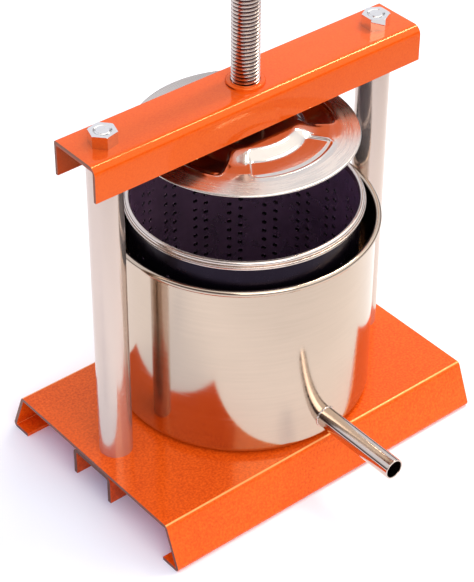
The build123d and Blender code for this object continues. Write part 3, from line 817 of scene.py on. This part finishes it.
def bush():
    """Round-edged bush in the crossbeam, with a chamfered mouth for the spindle."""
    outer = (BUSH_HIGH.x - BUSH_LOW.x) / 2
    bore = SPINDLE_RADIUS + 0.08 * MM
    round_off = 1.4 * MM
    profile = [(bore, BUSH_LOW.z), (outer, BUSH_LOW.z)]
    profile += arc((outer - round_off, BUSH_HIGH.z - round_off), round_off, 0, 90, 8)
    profile += [(bore + 0.3 * MM, BUSH_HIGH.z), (bore, BUSH_HIGH.z - 0.3 * MM)]
    shaped("rounded_bush", *lathe(profile, PRESS_AXIS, 96, closed=True), "beam_paint", "frame",
           "orange_paint", ["screw_bush"], 40.0)


# ------------------------------------------------------------------ handle grips
def knobs():
    """Black grips with shallow finger rings and a rounded end."""
    for side, sign in (("left", -1), ("right", 1)):
        low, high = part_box(f"handle_knob_{side}")
        radius = (high.z - low.z) / 2
        centre = (low + high) / 2
        length = high.x - low.x
        bar = 6 * MM
        profile = [(bar, 0.0), (0.72 * radius, 0.0)]
        count = 64
        for k in range(count + 1):
            t = k / count
            swell = 0.93 + 0.07 * math.sin(math.pi * t)
            ring = 0.35 * MM * (0.5 - 0.5 * math.cos(TURN * 5 * t)) * (t > 0.1) * (t < 0.9)
            end = min(t, 1 - t) * length
            corner = 5 * MM
            rounded = radius - corner + math.sqrt(max(corner ** 2 - max(corner - end, 0) ** 2, 0))
            profile.append((min(rounded, swell * radius - ring),
                            0.15 * MM + t * (length - 0.2 * MM)))
        profile += [(0.4 * radius, length - 0.05 * MM), (0.0, length)]
        verts, faces = lathe(profile, Vector((0, 0, 0)), 72)
        verts = [(centre.x + sign * (z - length / 2), centre.y + y, centre.z + x)
                 for x, y, z in verts]
        shaped(f"ringed_grip_{side}", verts, faces, "grip", "screw", "black_grip",
               [f"handle_knob_{side}"], 50.0)


spindle()
tie_rods()
folded_beam()
press_plate()
basket_rim()
hole_burrs()
seams()
stitch_welds()
spout_weld()
bush()
knobs()


# ------------------------------------------------------------------ stage, light and camera
def floor():
    """Floor, pale round the press and grey further out as a painted pool of light; the pale part
    is centred behind it.
    """
    size = 6.0
    mesh = bpy.data.meshes.new("floor")
    corners = [(-size, -size, 0), (size, -size, 0), (size, size, 0), (-size, size, 0)]
    mesh.from_pydata(corners, [], [(0, 1, 2, 3)])
    plane = bpy.data.objects.new("floor", mesh)
    bpy.context.collection.objects.link(plane)
    made, tree, shader = material("floor_white")
    where = position(tree)
    _, distance, _ = polar(tree, where, Vector((-0.05, 0.4, 0)))
    # Painted pool of light: the floor's colour greys with distance from a point behind the press.
    painted_falloff = remap(tree, distance, 0.55, 0.9, 0.0, 1.0)
    near = two_tone(tree, noise(tree, where, 3.0), (0.93, 0.95, 0.97), (0.95, 0.97, 0.99))
    tree.links.new(two_tone(tree, painted_falloff, near, (0.55, 0.56, 0.57)), shader.inputs["Base Color"])
    shader.inputs["Roughness"].default_value = 0.9
    shader.inputs["Specular IOR Level"].default_value = 0.2
    mesh.materials.append(made)


def area_light(name, place, target, size, power, colour):
    data = bpy.data.lights.new(name, "AREA")
    data.shape = "RECTANGLE"
    data.size, data.size_y = size
    data.energy = power
    data.color = colour
    lamp = bpy.data.objects.new(name, data)
    bpy.context.collection.objects.link(lamp)
    lamp.location = place
    lamp.rotation_euler = (Vector(target) - Vector(place)).to_track_quat("-Z", "Y").to_euler()


def lights():
    """Studio sky, a narrow key light above to the right and a wide fill light at the front left.

    The sky has one colour for mirrored rays, one for diffuse rays and one where it is seen
    directly. The mirrored one is bright above a dark horizon, and dim at the front left and
    almost overhead.
    """
    world = bpy.data.worlds.new("studio")
    bpy.context.scene.world = world
    world.use_nodes = True
    tree = world.node_tree
    background = tree.nodes["Background"]
    ray = add(tree, "ShaderNodeTexCoord")
    split = add(tree, "ShaderNodeSeparateXYZ")
    tree.links.new(ray.outputs["Generated"], split.inputs[0])
    height = remap(tree, split.outputs[2], 0.12, 0.36, 0.0, 1.0)
    side = add(tree, "ShaderNodeVectorMath", operation="DOT_PRODUCT")
    tree.links.new(ray.outputs["Generated"], side.inputs[0])
    side.inputs[1].default_value = (-0.86, -0.5, 0.0)
    room = remap(tree, side.outputs["Value"], 0.45, 0.85, 1.0, 0.08)
    front = remap(tree, split.outputs[1], 0.25, -0.15, 0.0, 1.0)
    upper = two_tone(tree, front, (0.96, 0.98, 1.06), (1.5, 1.48, 1.46))
    above = add(tree, "ShaderNodeVectorMath", operation="DOT_PRODUCT")
    tree.links.new(ray.outputs["Generated"], above.inputs[0])
    above.inputs[1].default_value = (-0.22, 0.18, 0.96)
    open_top = remap(tree, above.outputs["Value"], 0.955, 0.985, 1.0, 0.12)
    lit = math_node(tree, "MULTIPLY", math_node(tree, "MULTIPLY", height, room), open_top)
    mirrored = two_tone(tree, lit, (0.06, 0.03, 0.04), upper)
    left = remap(tree, split.outputs[0], -0.1, -0.7, 0.0, 1.0)
    soft = two_tone(tree, left, (1.02, 0.98, 0.93), (0.62, 0.7, 1.18))
    path = add(tree, "ShaderNodeLightPath")
    sky = two_tone(tree, path.outputs["Is Diffuse Ray"], mirrored, soft)
    seen = path.outputs["Is Camera Ray"]
    tree.links.new(two_tone(tree, seen, sky, (0.93, 0.93, 0.94)), background.inputs["Color"])
    background.inputs["Strength"].default_value = 1.0
    middle = (0.0, 0.0, 0.15)
    area_light("key", (0.80, 0.04, 1.5), middle, (0.24, 0.6), 11.0, (1.0, 0.88, 0.72))
    area_light("fill", (-0.5, -1.3, 1.2), middle, (1.2, 1.0), 12.0, (1.0, 0.96, 0.92))


CAMERA_FROM_AXIS = Vector((-0.6616, -0.7924, 0.8726))
CAMERA_TURN = math.radians(-39.62)
CAMERA_TILT = math.radians(-37.65)
CAMERA_ROLL = math.radians(0.33)
CAMERA_LENS = 122.68


def camera():
    """Camera placed from the press axis at the base plate's top face."""
    data = bpy.data.cameras.new("camera")
    data.lens = CAMERA_LENS
    data.sensor_width = 36.0
    data.clip_end = 50.0
    body = bpy.data.objects.new("camera", data)
    bpy.context.collection.objects.link(body)
    forward = Vector((-math.sin(CAMERA_TURN) * math.cos(CAMERA_TILT),
                      math.cos(CAMERA_TURN) * math.cos(CAMERA_TILT), math.sin(CAMERA_TILT)))
    level = Vector((math.cos(CAMERA_TURN), math.sin(CAMERA_TURN), 0.0))
    up = level.cross(forward)
    right = level * math.cos(CAMERA_ROLL) + up * math.sin(CAMERA_ROLL)
    up = right.cross(forward)
    turned = Matrix((right, up, -forward)).transposed().to_4x4()
    place = PRESS_AXIS + Vector((0, 0, BASE_TOP)) + CAMERA_FROM_AXIS
    body.matrix_world = Matrix.Translation(place) @ turned
    bpy.context.scene.camera = body


floor()
lights()
camera()
bpy.context.scene.view_settings.view_transform = "Standard"
